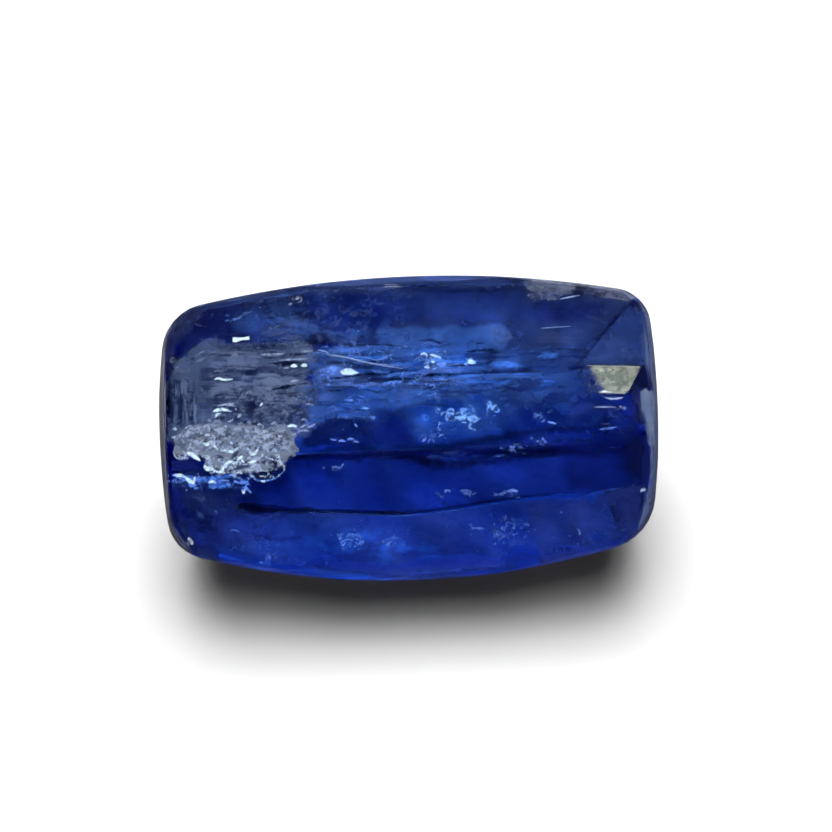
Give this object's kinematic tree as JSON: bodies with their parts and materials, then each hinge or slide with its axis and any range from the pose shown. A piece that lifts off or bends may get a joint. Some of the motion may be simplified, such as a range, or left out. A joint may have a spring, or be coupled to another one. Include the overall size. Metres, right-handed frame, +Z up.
{
  "type": "cushion-cut tanzanite gemstone",
  "caption": "Loose cushion-cut tanzanite: long faceted violet-blue stone with a broad flat table, narrow crown, thin girdle and a wedge-shaped pavilion that ends in a long keel.",
  "frame": {"origin": "centre of the bounding box in plan, on the surface that the stone rests on", "axes": "+X along the length of the stone, +Z up; the table leans towards -Y"},
  "size_m": [0.01, 0.0052, 0.0046],
  "materials": {
    "tanzanite": "polished, transparent violet-blue crystal with veils inside"
  },
  "bodies": {
    "root": {"stone": "tanzanite"}
  },
  "joints": []
}
